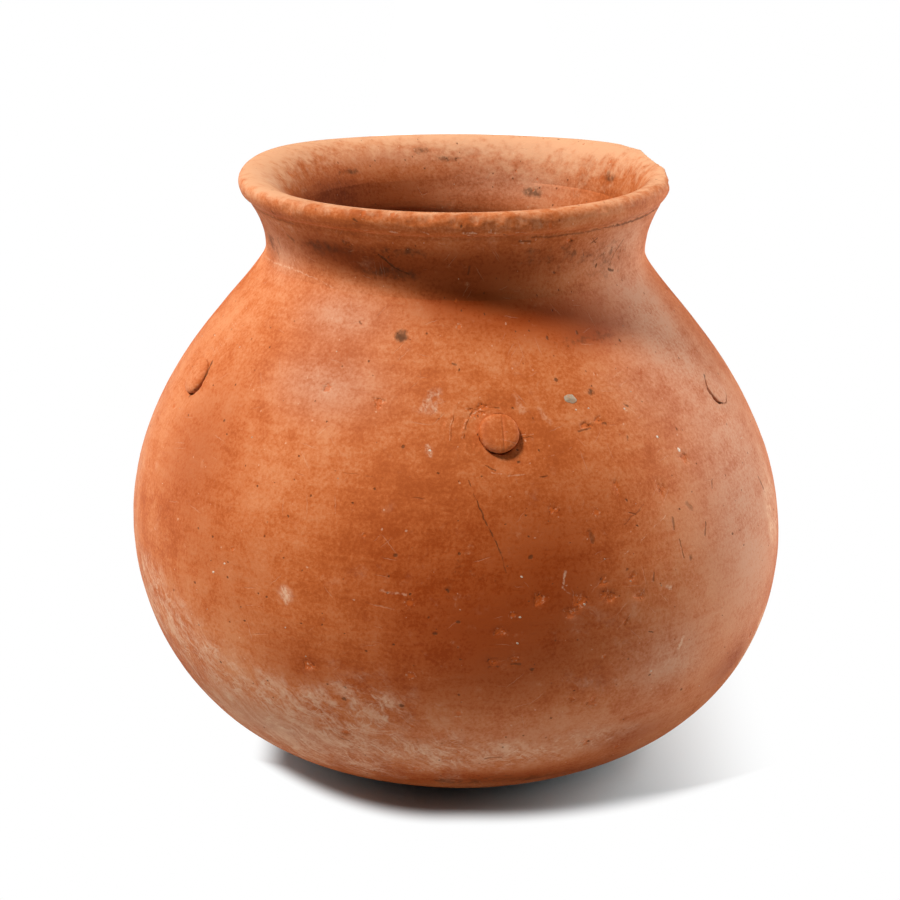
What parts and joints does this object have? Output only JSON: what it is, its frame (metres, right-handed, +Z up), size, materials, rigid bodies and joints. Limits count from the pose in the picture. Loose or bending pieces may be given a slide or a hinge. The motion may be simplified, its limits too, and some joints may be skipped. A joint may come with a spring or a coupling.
{
  "type": "studded terracotta jar",
  "caption": "Round-bodied hand-built terracotta jar with a flared neck, a rolled lip and clay pellet studs round its shoulder, for holding water or dry goods.",
  "frame": {"origin": "middle of the worn flat that the jar stands on", "axes": "+Z up through the mouth, -Y towards the side with the front stud, +X to the right seen from the front"},
  "size_m": [0.2301, 0.23, 0.2077],
  "materials": {
    "base_clay": "matt terracotta, lime-bleached and rubbed",
    "body_clay": "smoothed terracotta with a faint burnish",
    "neck_clay": "matt terracotta with dark grime",
    "lip_clay": "handled terracotta, chipped along the edge",
    "stud_clay": "smoothed terracotta, worn on the heads"
  },
  "bodies": {
    "root": {"base_bowl": "base_clay", "belly_wall": "body_clay", "shoulder_wall": "body_clay", "neck_collar": "neck_clay", "rim_lip": "lip_clay", "stud_right": "stud_clay", "stud_back_right": "stud_clay", "stud_back_left": "stud_clay", "stud_left": "stud_clay", "stud_front": "stud_clay"}
  },
  "joints": []
}
